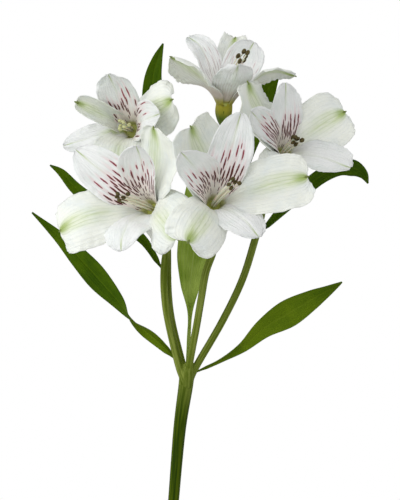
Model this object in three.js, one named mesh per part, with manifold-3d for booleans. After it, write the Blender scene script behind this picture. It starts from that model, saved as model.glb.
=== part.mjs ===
// A potted Peruvian lily: one flowering stem with five white blooms, seven leaves, soil and a plain pot.
// Millimetres, +Z up, origin at the centre of the pot's underside. The blooms face -Y, the front.
import * as THREE from 'three';
import { mergeVertices } from 'three/addons/utils/BufferGeometryUtils.js';
import Module from 'manifold-3d';

const wasm = await Module();
wasm.setup();

// Pot and soil
const POT_HEIGHT = 106;
const POT_RIM_RADIUS = 60;
const POT_FOOT_RADIUS = 42;
const POT_WALL = 4.5;
const RIM_BAND_HEIGHT = 22;
const RIM_BAND_STEP = 3;
const DRAIN_HOLES = 4;
const DRAIN_RADIUS = 4;
const DRAIN_CIRCLE = 24;
const SOIL_TOP = 97;
const STEM_DEPTH = 20;
const STEM_HOLE_RADIUS = 3.3;

// Plant
const GAP = 0.3;
const BLADE = 0.7;
const STEM_RADIUS = 2.8;
const RAY_RADIUS = 1.9;
const STALK_RADIUS = 1.6;
const OVARY_RADIUS = 3.9;
const OVARY_LENGTH = 11;
const RECEPTACLE_RADIUS = 4.5;
const RECEPTACLE_HALF = 0.9;
const FILAMENT_RADIUS = 0.45;
const ANTHER = [0.9, 0.9, 1.6];

const POT_COLOUR = '#b4694a';
const SOIL_COLOUR = '#3b2b20';
const STEM_COLOUR = '#55791a';
const LEAF_COLOUR = '#3c6414';
const PALE_LEAF_COLOUR = '#7f9a4c';
const PETAL_COLOUR = '#eeefe8';
const STAMEN_COLOUR = '#b9ad86';

const FRONT = new THREE.Vector3(0, -1, 0);
const degrees = THREE.MathUtils.degToRad;

function smooth(x) {
  const t = THREE.MathUtils.clamp(x, 0, 1);
  return t * t * (3 - 2 * t);
}

// Closed solids

function solid(geometry) {
  const bare = geometry.clone();
  bare.deleteAttribute('normal');
  bare.deleteAttribute('uv');
  const merged = mergeVertices(bare, 1e-4);
  return new wasm.Manifold(new wasm.Mesh({
    numProp: 3,
    vertProperties: merged.attributes.position.array,
    triVerts: new Uint32Array(merged.index.array),
  }));
}

function geometryOf(body) {
  const mesh = body.getMesh();
  const geometry = new THREE.BufferGeometry();
  geometry.setAttribute('position', new THREE.BufferAttribute(mesh.vertProperties, 3));
  geometry.setIndex(new THREE.BufferAttribute(mesh.triVerts, 1));
  geometry.computeVertexNormals();
  return geometry;
}

// One body from many, with the small pockets that overlapping petals close off filled in
function join(geometries) {
  const body = geometries.map(solid).reduce((whole, next) => whole.add(next));
  const shells = body.decompose().sort((a, b) => b.volume() - a.volume());
  return geometryOf(shells[0]);
}

function indexed(points, faces) {
  const geometry = new THREE.BufferGeometry().setFromPoints(points);
  geometry.setIndex(faces.flat());
  return geometry;
}

// A smooth run through rows of numbers, even steps from row to row
function run(rows) {
  const last = rows.length - 1;
  const before = rows[0].map((v, k) => 2 * v - rows[1][k]);
  const after = rows[last].map((v, k) => 2 * v - rows[last - 1][k]);
  const all = [before, ...rows, after];
  return (s) => {
    const i = Math.min(Math.floor(s * last), last - 1);
    const w = s * last - i;
    return rows[0].map((_, k) => {
      const [a, b, c, d] = [all[i][k], all[i + 1][k], all[i + 2][k], all[i + 3][k]];
      const leave = (c - a) / 2;
      const arrive = (d - b) / 2;
      const cubic = (2 * b - 2 * c + leave + arrive) * w ** 3;
      return cubic + (3 * c - 3 * b - 2 * leave - arrive) * w ** 2 + leave * w + b;
    });
  };
}

function place(at, s) {
  return new THREE.Vector3(...at(s).slice(0, 3));
}

// Directions along a run: ahead, to the side as seen from the front, and square to both
function directions(at, s) {
  const ahead = place(at, Math.min(s + 0.005, 1)).sub(place(at, Math.max(s - 0.005, 0))).normalize();
  const side = new THREE.Vector3().crossVectors(ahead, FRONT).normalize();
  const out = new THREE.Vector3().crossVectors(side, ahead);
  return { ahead, side, out };
}

// A round stalk through rows of [x, y, z, radius]
function stalk(rows, sides, steps) {
  const at = run(rows);
  const points = [];
  const faces = [];
  for (let i = 0; i <= steps; i += 1) {
    const s = i / steps;
    const { side, out } = directions(at, s);
    for (let j = 0; j < sides; j += 1) {
      const turn = (2 * Math.PI * j) / sides;
      const point = place(at, s);
      point.addScaledVector(side, at(s)[3] * Math.cos(turn));
      point.addScaledVector(out, at(s)[3] * Math.sin(turn));
      points.push(point);
    }
  }
  const first = points.push(place(at, 0)) - 1;
  const last = points.push(place(at, 1)) - 1;
  for (let j = 0; j < sides; j += 1) {
    const next = (j + 1) % sides;
    for (let i = 0; i < steps; i += 1) {
      const [a, b, c, d] = [i * sides + j, i * sides + next, (i + 1) * sides + next, (i + 1) * sides + j];
      faces.push([a, c, b], [a, d, c]);
    }
    faces.push([first, j, next], [last, steps * sides + next, steps * sides + j]);
  }
  return indexed(points, faces);
}

// A blade of even thickness over a grid of points, split alike on both faces
function blade(grid) {
  const rows = grid.length;
  const columns = grid[0].length;
  const points = [];
  for (const half of [BLADE / 2, -BLADE / 2]) {
    grid.forEach((row, i) => row.forEach((point, j) => {
      const along = grid[Math.min(i + 1, rows - 1)][j].clone().sub(grid[Math.max(i - 1, 0)][j]);
      const across = row[Math.min(j + 1, columns - 1)].clone().sub(row[Math.max(j - 1, 0)]);
      points.push(point.clone().addScaledVector(across.cross(along).normalize(), half));
    }));
  }
  const under = rows * columns;
  const faces = [];
  for (let i = 0; i < rows - 1; i += 1) {
    for (let j = 0; j < columns - 1; j += 1) {
      const a = i * columns + j;
      const [b, c, d] = [a + 1, a + columns + 1, a + columns];
      faces.push([a, b, c], [a, c, d], [under + a, under + c, under + b], [under + a, under + d, under + c]);
    }
  }
  const rim = [];
  for (let j = 0; j < columns; j += 1) rim.push(j);
  for (let i = 1; i < rows; i += 1) rim.push(i * columns + columns - 1);
  for (let j = columns - 2; j >= 0; j -= 1) rim.push((rows - 1) * columns + j);
  for (let i = rows - 2; i > 0; i -= 1) rim.push(i * columns);
  rim.forEach((a, k) => {
    const b = rim[(k + 1) % rim.length];
    faces.push([a, under + a, under + b], [a, under + b, b]);
  });
  return indexed(points, faces);
}

// Blooms: petals are measured from the bloom's foot, z along its axis, x towards its top petal

const PETAL_FORM = {
  outer: { rise: 1.05, fall: 0.42, claw: 0.16, circle: 4.1, curl: 0.75 },
  inner: { rise: 1.0, fall: 0.6, claw: 0.16, circle: 2.8, curl: 0.75 },
};

function petalWidth(form, s) {
  const shape = (t) => (t + form.claw) ** form.rise * (1 - 0.995 * t) ** form.fall;
  const widest = Math.max(...Array.from({ length: 201 }, (_, k) => shape(k / 200)));
  return shape(s) / widest;
}

// One petal: around = place round the axis; root and open = its lean at the foot, halfway and at the tip
function petalGrid(petal, rows, columns) {
  const form = PETAL_FORM[petal.kind];
  const { around, open, length, half, cup } = petal;
  const { root = 12, lobe = 0, bend = 0, twist = 0, ripple = 0, skew = 0 } = petal;
  const fine = 168;
  const grid = [];
  const centre = new THREE.Vector3(form.circle, 0, 0);
  for (let k = 0; k <= fine; k += 1) {
    const s = k / fine;
    const lean = degrees(root + (open[0] - root) * smooth(s / 0.45)
      + (open[1] - open[0]) * smooth((s - 0.45) / 0.55));
    const stray = degrees(bend) * smooth(s);
    const ahead = new THREE.Vector3(
      Math.sin(lean) * Math.cos(stray),
      Math.sin(stray),
      Math.cos(lean) * Math.cos(stray),
    );
    if ((k * rows) % fine === 0) {
      const inward = new THREE.Vector3(-Math.cos(lean), 0, Math.sin(lean));
      const side = new THREE.Vector3().crossVectors(inward, ahead).normalize();
      const face = new THREE.Vector3().crossVectors(ahead, side);
      const roll = degrees(twist) * smooth(s);
      const across = side.clone().multiplyScalar(Math.cos(roll)).addScaledVector(face, Math.sin(roll));
      const up = face.clone().multiplyScalar(Math.cos(roll)).addScaledVector(side, -Math.sin(roll));
      const wide = Math.max(half * petalWidth(form, s), 0.5);
      const curl = form.curl + (cup - form.curl) * smooth(s / 0.5);
      const row = [];
      for (let j = 0; j <= columns; j += 1) {
        const even = (2 * j) / columns - 1;
        const v = even * (1 + skew * even * smooth(s / 0.4));
        const wave = ripple * Math.abs(v) ** 3 * smooth((s - 0.2) / 0.4);
        const phase = 5 * Math.PI * s + (v > 0 ? 1.3 : 0);
        const lift = wide * ((1 - Math.cos(curl * v)) / curl + wave * Math.sin(phase));
        const notch = length * lobe * (wide * Math.abs(v) / half) ** 1.2 * smooth((s - 0.45) / 0.45);
        row.push(centre.clone()
          .addScaledVector(across, (wide * Math.sin(curl * v)) / curl)
          .addScaledVector(up, lift)
          .addScaledVector(ahead, notch)
          .applyAxisAngle(new THREE.Vector3(0, 0, 1), degrees(around)));
      }
      grid.push(row);
    }
    centre.addScaledVector(ahead, length / fine);
  }
  return grid;
}

function petalRing(petals) {
  const receptacle = new THREE.CylinderGeometry(RECEPTACLE_RADIUS, RECEPTACLE_RADIUS, 2 * RECEPTACLE_HALF, 16);
  receptacle.rotateX(Math.PI / 2);
  const blades = petals.map((petal) => blade(petalGrid(petal, 7, 4)));
  return join([receptacle, ...blades]);
}

// Six filaments with anthers and a shorter style, which lean together as they leave the throat
function stamenSheaf({ length, lean, around }) {
  const floor = RECEPTACLE_HALF + GAP;
  const base = new THREE.CylinderGeometry(1.8, 1.8, 1.2, 10);
  base.rotateX(Math.PI / 2);
  base.translate(0, 0, floor + 0.6);
  const shapes = [base];
  for (let k = 0; k <= 6; k += 1) {
    const style = k === 6;
    const turn = degrees(60 * k + 25);
    const reach = style ? 0.82 * length : length * (1 - 0.09 * (k % 3));
    const spread = style ? 0.4 : 1.1 + 0.35 * (k % 2);
    const rows = [0, 0.3, 0.65, 1].map((t) => {
      const fan = style ? 0.3 : 1.1 + spread * t;
      const drift = Math.tan(degrees(lean)) * reach * t ** 1.6;
      return [
        fan * Math.cos(turn) + drift * Math.cos(degrees(around)),
        fan * Math.sin(turn) + drift * Math.sin(degrees(around)),
        floor + 0.5 + (reach - 0.5) * t,
        FILAMENT_RADIUS,
      ];
    });
    shapes.push(stalk(rows, 4, 3));
    if (!style) {
      const anther = new THREE.SphereGeometry(1, 5, 4);
      anther.rotateX(Math.PI / 2);
      anther.scale(...ANTHER);
      anther.translate(...rows[3].slice(0, 3));
      shapes.push(anther);
    }
  }
  return join(shapes);
}

const outer = (around, open, length, half, cup, more = {}) => (
  { kind: 'outer', around, open, length, half, cup, ...more });
const inner = (around, open, length, half, cup, more = {}) => (
  { kind: 'inner', around, open, length, half, cup, ...more });

// foot = where the petals meet the ovary; yaw to the right, pitch up and roll leftwards, in degrees
const BLOOMS = {
  lower_left: {
    foot: [-5.7, -13.4, 313.1], yaw: -35, pitch: 21, roll: 4,
    petals: [
      outer(-27, [62, 46], 44, 14.5, 0.3, { lobe: 0.12, ripple: 0.06, bend: 8, skew: -0.38 }),
      outer(118, [45, 101], 50, 16, -0.35, { lobe: 0.12, ripple: 0.06, skew: 0.02 }),
      outer(-112, [56, 100], 46, 16, -0.7, { lobe: 0.08, bend: -22, skew: 0.06 }),
      inner(53, [44, 66], 49, 11.5, 0.25),
      inner(-23, [35, 21], 46.5, 10, 0.3, { twist: 30, skew: 0.27, bend: -12 }),
      inner(172, [38, 94], 39, 12.7, -0.35, { bend: 17 }),
    ],
    stamens: { length: 31, lean: 6, around: 195 },
  },
  middle: {
    foot: [23, -30, 315.8], yaw: 19, pitch: 32, roll: 25,
    petals: [
      outer(-13, [76, 53], 39.5, 20.5, 0.2, { lobe: 0.2, bend: 12, skew: 0.06, twist: 34 }),
      outer(-115, [55, 75], 49, 15.5, 0.3, { lobe: 0.12, skew: -0.12 }),
      outer(116, [55, 100], 45, 15.5, -0.6, { lobe: 0.15 }),
      inner(24.5, [39, 33], 46, 9.6, 0.3, { twist: -48, bend: 22, skew: -0.1 }),
      inner(-42, [43, 59], 49, 11, 0.25),
      inner(176, [50, 82], 40, 11.5, -0.35),
    ],
    stamens: { length: 31, lean: 6, around: 185 },
  },
  upper_left: {
    foot: [-17.3, 19.4, 351], yaw: -14, pitch: 15, roll: -47,
    petals: [
      outer(-25, [37, 67], 41, 14.5, -0.6, { lobe: 0.06 }),
      outer(117, [35, 60], 34, 9, 1.7, { lobe: 0.1 }),
      outer(-141.5, [34, 70], 42, 13.4, 0.3, { lobe: 0.1, bend: 20 }),
      inner(56.5, [33, 15], 43, 10.3, 0.25),
      inner(-40, [30, 48], 40, 10, 0.3),
      inner(158.5, [76, 95], 37, 7, -0.3, { bend: -3 }),
    ],
    stamens: { length: 15, lean: 4, around: 180 },
  },
  right: {
    foot: [57, 4.9, 338.2], yaw: 30, pitch: 37, roll: 37,
    petals: [
      outer(8, [69, 58], 41, 16.5, 0.3, { lobe: 0.04, ripple: 0.06, bend: -22, twist: 6, skew: 0.35 }),
      outer(-103, [51, 74], 38.5, 15.3, 0.3, { lobe: 0.05, ripple: 0.08, skew: -0.05, bend: -9 }),
      outer(109, [58, 98], 44, 15, -0.4, { lobe: 0.1 }),
      inner(34.5, [51, 46], 44, 7.8, 0.3, { twist: -36, bend: 10, skew: -0.09 }),
      inner(-36, [45, 58], 37, 9.7, 0.25, { twist: 5 }),
      inner(181.5, [51, 63], 41.5, 12.3, 0.2, { bend: -7 }),
    ],
    stamens: { length: 17, lean: 5, around: 180 },
  },
  top: {
    foot: [29.2, 14, 364.8], yaw: 26, pitch: 80, roll: -22,
    petals: [
      outer(-5.5, [50, 64], 42.4, 7.5, 0.5, { root: 28, lobe: 0.14, bend: -7 }),
      outer(120, [49, 71], 40, 12.5, -0.9, { root: 28, lobe: -0.1, twist: 25 }),
      outer(-107, [47.5, 113], 39, 9.7, -0.5, { root: 27, twist: -33, bend: 14 }),
      inner(38, [34, 82], 42, 7.8, 0.4, { root: 28, bend: -2, twist: -20 }),
      inner(-39, [39, 56], 37.7, 10.3, 0.4, { root: 28, bend: 10, twist: 37 }),
      inner(191, [48, 37], 32, 10.5, 0.5, { root: 28, bend: -5 }),
    ],
    stamens: { length: 27, lean: 22, around: -135 },
  },
};

// The bloom's own directions: top petal, left as seen by whoever it faces, and its axis
function bloomBasis({ yaw, pitch, roll }) {
  const axis = new THREE.Vector3(
    Math.sin(degrees(yaw)) * Math.cos(degrees(pitch)),
    -Math.cos(degrees(yaw)) * Math.cos(degrees(pitch)),
    Math.sin(degrees(pitch)),
  );
  const up = new THREE.Vector3(0, 0, 1).addScaledVector(axis, -axis.z).normalize();
  up.applyAxisAngle(axis, degrees(roll));
  const left = new THREE.Vector3().crossVectors(axis, up);
  return { up, left, axis };
}

// Rows of [x, y, z, radius] for the ovary under a bloom, from its stalk to the petals
function ovary(bloom) {
  const { axis } = bloomBasis(bloom);
  const stations = [
    [OVARY_LENGTH, STALK_RADIUS],
    [0.72 * OVARY_LENGTH, 0.78 * OVARY_RADIUS],
    [0.4 * OVARY_LENGTH, OVARY_RADIUS],
    [RECEPTACLE_HALF + GAP, 0.93 * OVARY_RADIUS],
  ];
  return stations.map(([behind, radius]) => (
    [...new THREE.Vector3(...bloom.foot).addScaledVector(axis, -behind), radius]));
}

// Rays: stalks that fan out from the top of the stem, one to each bloom; rows of [x, y, z, radius]
const RAYS = {
  lower_left: [
    [9.5, 0, 225.5, RAY_RADIUS], [6.4, -0.8, 233.6, RAY_RADIUS], [1.2, -2, 255.9, RAY_RADIUS],
    [-0.7, -2.6, 269.6, RAY_RADIUS], [-0.9, -3, 282.7, RAY_RADIUS], [0.5, -2, 297.2, STALK_RADIUS],
  ],
  upper_left: [
    [10.5, 1.5, 225.3, RAY_RADIUS], [8, 1.5, 234.9, RAY_RADIUS], [2.9, 1.5, 255.6, RAY_RADIUS],
    [1, 2, 271.6, RAY_RADIUS], [1, 4.8, 291.6, STALK_RADIUS], [0.2, 9, 308.9, STALK_RADIUS],
    [-3.2, 15, 328.6, STALK_RADIUS], [-9.3, 24, 341.8, STALK_RADIUS],
  ],
  middle: [
    [11, -1, 225.6, RAY_RADIUS], [11.6, -1, 233.7, RAY_RADIUS], [13.2, -1.2, 243, RAY_RADIUS],
    [15.3, -1.5, 254, RAY_RADIUS], [17.5, -2.5, 267.2, RAY_RADIUS], [20, -3.5, 281.3, RAY_RADIUS],
    [23.7, -6.5, 292.6, RAY_RADIUS], [23.4, -12, 302, STALK_RADIUS],
  ],
  right: [
    [11.5, 0.5, 225.4, RAY_RADIUS], [15.2, 1, 233.5, RAY_RADIUS], [28, 1, 255.7, RAY_RADIUS],
    [38.3, 0, 277.4, RAY_RADIUS], [45, 0, 299, RAY_RADIUS], [48.1, 4, 309.2, STALK_RADIUS],
    [50.7, 11, 321.3, STALK_RADIUS],
  ],
  top: [
    [23.3, -6.3, 291.5, STALK_RADIUS], [28.4, 0, 304.5, STALK_RADIUS], [30, 8, 321.5, STALK_RADIUS],
    [29.6, 14, 341.5, STALK_RADIUS],
  ],
};

const STEM = [
  [0, 0, SOIL_TOP - STEM_DEPTH, STEM_RADIUS], [0, 0, SOIL_TOP, STEM_RADIUS],
  [0.9, 0, 130, STEM_RADIUS], [3.7, 0, 165.6, STEM_RADIUS], [6.7, 0, 201.2, 3.2],
  [9.7, 0, 222.5, 3.7], [10.5, 0, 230.5, 3.7], [10.7, 0, 235, 2.2],
];

function flowerStem() {
  const rays = Object.entries(RAYS).map(([name, rows]) => (
    stalk([...rows, ...ovary(BLOOMS[name])], 8, 2 * (rows.length + 3))));
  return join([stalk(STEM, 12, 14), ...rays]);
}

// Leaves: rows of [x, y, z, half width, turn of the blade about its rib in degrees], from base to tip
const LEAVES = {
  leaf_left: {
    fold: 0.25,
    colour: LEAF_COLOUR,
    rows: [
      [3, 0.6, 239, 1.5, 165], [-6.1, 1, 247.3, 2.6, 160], [-16.6, 2, 256.1, 3, 98],
      [-24.4, 3, 266.3, 4, 25], [-34.2, 4, 277.5, 5.8, 8], [-43.7, 5, 288, 5, 4],
      [-54.3, 6, 298.8, 2.8, 0], [-67.3, 7, 310.3, 0.4, 0],
    ],
  },
  leaf_right: {
    fold: 0.2,
    colour: LEAF_COLOUR,
    rows: [
      [17.4, 1.5, 231.5, 0.9, -35], [27.6, 3, 236.2, 1.3, -35], [38.6, 4, 242.9, 2.7, -15],
      [49.2, 4, 252.3, 4.9, 0], [61.2, 3, 259.7, 6.9, 5], [73.2, 2, 266.9, 4.9, 5],
      [81.1, 1, 271.5, 2.6, 5], [88.1, 0, 275.9, 0.4, 0],
    ],
  },
  leaf_middle: {
    fold: 0.35,
    colour: PALE_LEAF_COLOUR,
    rows: [
      [10.6, 4.6, 229.5, 0.9, 0], [11.3, 6.8, 246, 0.9, 0], [12, 8, 260, 1.3, 0],
      [12.2, 9, 273.5, 5, 0], [13.5, 10, 287.1, 8, 0], [14.7, 10, 301.2, 8, 0],
      [14, 9, 316.4, 5.5, 0], [13.2, 8, 333.1, 0.4, 0],
    ],
  },
  leaf_upper_left: {
    fold: 0.2,
    colour: LEAF_COLOUR,
    rows: [
      [1.2, 6.8, 287.3, 1, 0], [-0.8, 14, 299.9, 2, 0], [-3.3, 24, 313.8, 3.1, 0],
      [-5, 33, 330.1, 4.2, 0], [-6, 37, 347.7, 5.6, 0], [-6.7, 38, 363, 6, 0],
      [-7, 38, 375.7, 4.6, 0], [-4.9, 37, 385.9, 2.8, 0], [-1.8, 36, 394.4, 0.4, 0],
    ],
  },
  bract_left: {
    fold: 0.25,
    colour: LEAF_COLOUR,
    rows: [
      [-2.9, -0.6, 284, 1.1, 0], [-11.5, 5, 296.6, 2.3, 0], [-24.7, 8, 306.9, 3.5, 0],
      [-35.3, 10, 314.3, 3.5, 0], [-45.3, 11, 322.1, 3, 0], [-52.4, 11, 329.9, 2, 0],
      [-58.4, 11, 333.9, 0.4, 0],
    ],
  },
  bract_right: {
    fold: 0.25,
    colour: LEAF_COLOUR,
    rows: [
      [48.3, 3, 301.5, 0.9, 0], [57.6, 7, 311, 2.5, 0], [67.8, 10, 320.4, 3.5, 0],
      [77.9, 12, 328.3, 3.8, 0], [86.9, 13, 332.3, 3.9, 0], [94, 13, 332.3, 4.2, 0],
      [99, 12, 329.3, 2.5, 0], [101.5, 11, 324.6, 0.4, 0],
    ],
  },
  bract_back: {
    fold: 0.2,
    colour: LEAF_COLOUR,
    rows: [
      [26.9, -1.5, 296.1, 0.7, 0], [29.6, 8, 307.4, 2, 0], [34.7, 16, 323.5, 3.5, 0],
      [39.7, 20, 341, 5.2, 0], [44.8, 22, 357, 7, 0], [49.3, 22, 369.2, 6.8, 0],
      [56.4, 21, 376.8, 0.4, 0],
    ],
  },
};

function leafBlade({ fold, rows }) {
  const at = run(rows);
  const steps = 14;
  const grid = [];
  for (let i = 0; i <= steps; i += 1) {
    const s = i / steps;
    const { ahead, side, out } = directions(at, s);
    const [, , , half, turn] = at(s);
    const across = side.clone().multiplyScalar(Math.cos(degrees(turn)));
    across.addScaledVector(out, Math.sin(degrees(turn)));
    const face = new THREE.Vector3().crossVectors(across, ahead);
    grid.push([-1, -0.5, 0, 0.5, 1].map((v) => place(at, s)
      .addScaledVector(across, half * v)
      .addScaledVector(face, fold * half * Math.abs(v))));
  }
  return blade(grid);
}

// Pot and soil

function potShell() {
  const slope = (POT_RIM_RADIUS - RIM_BAND_STEP - POT_FOOT_RADIUS) / (POT_HEIGHT - RIM_BAND_HEIGHT);
  const wallAt = (z) => POT_FOOT_RADIUS + slope * z - POT_WALL;
  const bandFoot = POT_HEIGHT - RIM_BAND_HEIGHT;
  const profile = [
    [0, 0], [POT_FOOT_RADIUS - 1.5, 0], [POT_FOOT_RADIUS, 1.5], [POT_RIM_RADIUS - RIM_BAND_STEP, bandFoot],
    [POT_RIM_RADIUS - 0.8, bandFoot + 0.4], [POT_RIM_RADIUS, bandFoot + 2], [POT_RIM_RADIUS, POT_HEIGHT - 2],
    [POT_RIM_RADIUS - 1.5, POT_HEIGHT], [wallAt(POT_HEIGHT) + 1, POT_HEIGHT],
    [wallAt(POT_HEIGHT - 2), POT_HEIGHT - 2], [wallAt(POT_WALL), POT_WALL], [0, POT_WALL],
  ];
  let shell = solid(turned(profile));
  for (let k = 0; k < DRAIN_HOLES; k += 1) {
    const angle = (2 * Math.PI * k) / DRAIN_HOLES + Math.PI / 4;
    const drill = new THREE.CylinderGeometry(DRAIN_RADIUS, DRAIN_RADIUS, 4 * POT_WALL, 16);
    drill.rotateX(Math.PI / 2);
    drill.translate(DRAIN_CIRCLE * Math.cos(angle), DRAIN_CIRCLE * Math.sin(angle), 0);
    shell = shell.subtract(solid(drill));
  }
  return { geometry: geometryOf(shell), wallAt };
}

function turned(profile) {
  const points = profile.map(([r, z]) => new THREE.Vector2(r, z));
  const geometry = new THREE.LatheGeometry(points, 40);
  geometry.rotateX(Math.PI / 2);
  return geometry;
}

function soilFill(wallAt) {
  const low = POT_WALL + GAP;
  const fill = solid(turned([
    [0, low], [wallAt(low) - GAP, low], [wallAt(SOIL_TOP - 3) - GAP, SOIL_TOP - 3], [44, SOIL_TOP - 1],
    [20, SOIL_TOP], [0, SOIL_TOP],
  ]));
  const hole = new THREE.CylinderGeometry(STEM_HOLE_RADIUS, STEM_HOLE_RADIUS, 2 * (STEM_DEPTH + GAP), 16);
  hole.rotateX(Math.PI / 2);
  hole.translate(0, 0, SOIL_TOP);
  return geometryOf(fill.subtract(solid(hole)));
}

// The finished plant

const plant = new THREE.Group();

function addPiece(parent, name, geometry, colour, roughness) {
  const material = new THREE.MeshStandardMaterial({ color: colour, roughness, metalness: 0 });
  const mesh = new THREE.Mesh(geometry, material);
  mesh.name = name;
  parent.add(mesh);
}

const pot = potShell();
addPiece(plant, 'pot', pot.geometry, POT_COLOUR, 0.85);
addPiece(plant, 'soil', soilFill(pot.wallAt), SOIL_COLOUR, 1);
addPiece(plant, 'flower_stem', flowerStem(), STEM_COLOUR, 0.55);
for (const [name, leaf] of Object.entries(LEAVES)) {
  addPiece(plant, name, leafBlade(leaf), leaf.colour, 0.5);
}
for (const [name, bloom] of Object.entries(BLOOMS)) {
  const { up, left, axis } = bloomBasis(bloom);
  const head = new THREE.Group();
  head.position.set(...bloom.foot);
  head.quaternion.setFromRotationMatrix(new THREE.Matrix4().makeBasis(up, left, axis));
  addPiece(head, `petals_${name}`, petalRing(bloom.petals), PETAL_COLOUR, 0.5);
  addPiece(head, `stamens_${name}`, stamenSheaf(bloom.stamens), STAMEN_COLOUR, 0.6);
  plant.add(head);
}

export default plant;
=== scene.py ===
# %% [markdown]
# # A Peruvian lily in a clay pot
# One stem of Alstroemeria with five white blooms stands in the soil of a plain clay pot.
# The packed model already says where every piece is, so this lesson only dresses it: each leaf,
# petal and stalk is modelled again with finer shapes in the same place, and gets its own finish.
# Sizes are written in millimetres, because a petal is easier to picture that way, and are turned
# into the scene's metres at the very end by one number.

import math
import random

import bmesh
import bpy
from mathutils import Matrix, Vector, noise
from mathutils.kdtree import KDTree


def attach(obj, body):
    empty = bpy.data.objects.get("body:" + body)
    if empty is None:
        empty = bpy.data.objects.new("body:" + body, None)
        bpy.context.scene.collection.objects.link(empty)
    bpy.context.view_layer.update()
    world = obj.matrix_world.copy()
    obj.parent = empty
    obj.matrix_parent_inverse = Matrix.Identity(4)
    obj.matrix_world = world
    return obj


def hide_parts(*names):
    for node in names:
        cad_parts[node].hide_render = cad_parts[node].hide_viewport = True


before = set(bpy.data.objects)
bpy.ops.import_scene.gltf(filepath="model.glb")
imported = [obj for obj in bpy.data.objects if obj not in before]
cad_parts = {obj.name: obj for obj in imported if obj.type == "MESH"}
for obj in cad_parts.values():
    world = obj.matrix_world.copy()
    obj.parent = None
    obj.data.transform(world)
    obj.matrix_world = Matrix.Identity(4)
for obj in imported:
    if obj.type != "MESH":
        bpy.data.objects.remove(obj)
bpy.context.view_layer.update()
MM = 0.001
scene = bpy.context.scene


# %% [markdown]
# ## Camera, light and floor
# The photograph looks at the blooms from a little above, from far away and through a long lens,
# in front of pure white. A long lens keeps the petals from bulging towards us. The light is a
# white surrounding, as in a photographer's tent, and two lamps. A small one close by on the left
# falls off across the blooms, so the left ones glow and the right ones are a soft grey. A larger
# one high in front looks into the throats.

# %% Camera
AIM = Vector((0.017, 0, 0.292))
LOOK_DOWN = math.radians(5)
DISTANCE = 1.5

camera_data = bpy.data.cameras.new("camera")
camera_data.lens = 216
camera_data.sensor_width = 36
camera = bpy.data.objects.new("camera", camera_data)
scene.collection.objects.link(camera)
camera.location = AIM + DISTANCE * Vector((0, -math.cos(LOOK_DOWN), math.sin(LOOK_DOWN)))
camera.rotation_euler = (math.radians(90) - LOOK_DOWN, 0, 0)
scene.camera = camera
print("camera at", [round(v, 3) for v in camera.location])

# %% White surroundings
TENT_LEVEL = 0.70

scene.view_settings.view_transform = "Standard"
world = bpy.data.worlds.new("white_tent")
scene.world = world
world.use_nodes = True
tent = world.node_tree.nodes["Background"]
tent.inputs["Color"].default_value = (1, 1, 1, 1)
seen = world.node_tree.nodes.new("ShaderNodeLightPath").outputs["Is Camera Ray"]
level = world.node_tree.nodes.new("ShaderNodeMapRange")
level.inputs["To Min"].default_value = TENT_LEVEL
level.inputs["To Max"].default_value = 1.0
world.node_tree.links.new(seen, level.inputs["Value"])
world.node_tree.links.new(level.outputs["Result"], tent.inputs["Strength"])
print(world.name, "lights the plant with", TENT_LEVEL)


# %% Lamps
def add_lamp(name, place, size, watts):
    """A broad square lamp that looks at the blooms."""
    data = bpy.data.lights.new(name, "AREA")
    data.size = size
    data.energy = watts
    lamp = bpy.data.objects.new(name, data)
    scene.collection.objects.link(lamp)
    lamp.location = place
    lamp.rotation_euler = (AIM - Vector(place)).to_track_quat("-Z", "Y").to_euler()


add_lamp("key_lamp", (-0.40, -0.22, 0.48), 0.3, 0.9)
add_lamp("front_lamp", (-0.28, -0.75, 0.80), 0.5, 1.2)
print([lamp.name for lamp in bpy.data.lights])

# %% Floor
FLOOR_RADIUS = 0.8

floor_bm = bmesh.new()
bmesh.ops.create_circle(floor_bm, cap_ends=True, segments=96, radius=FLOOR_RADIUS)
floor_mesh = bpy.data.meshes.new("floor")
floor_bm.to_mesh(floor_mesh)
floor_bm.free()
floor = bpy.data.objects.new("floor", floor_mesh)
scene.collection.objects.link(floor)
print("a floor of", 2 * FLOOR_RADIUS, "m")

# %% [markdown]
# ## Helpers for node trees
# A finish is a small network of nodes. Written out in full it is long, so these few words make
# a node, feed it with numbers or with other nodes, and hand back what it gives. What a node gives
# can be added, multiplied and compared like a number, and each such sign makes a Math node. The
# plainest finish varies a little from a dark to a light colour, because nothing real has only one.
# The floor, the throats, the petal points, the filaments and the perlite need no more than that.


# %% Signs between values
def sign(operation, turned=False):
    """What an arithmetic sign does: it makes a Math node of its two sides."""
    def method(self, other):
        return self.wiring.math(operation, *((other, self) if turned else (self, other)))
    return method


class Value:
    """What a node gives, with the signs that work on it."""
    __add__, __radd__ = sign("ADD"), sign("ADD", turned=True)
    __sub__, __rsub__ = sign("SUBTRACT"), sign("SUBTRACT", turned=True)
    __mul__, __rmul__ = sign("MULTIPLY"), sign("MULTIPLY", turned=True)
    __truediv__, __pow__, __mod__ = sign("DIVIDE"), sign("POWER"), sign("MODULO")
    __lt__, __gt__ = sign("LESS_THAN"), sign("GREATER_THAN")

    def __init__(self, wiring, socket):
        self.wiring, self.socket = wiring, socket

    def __abs__(self):
        return self.wiring.math("ABSOLUTE", self)


print("a value can stand beside + - * / ** % < > and in abs")


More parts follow.
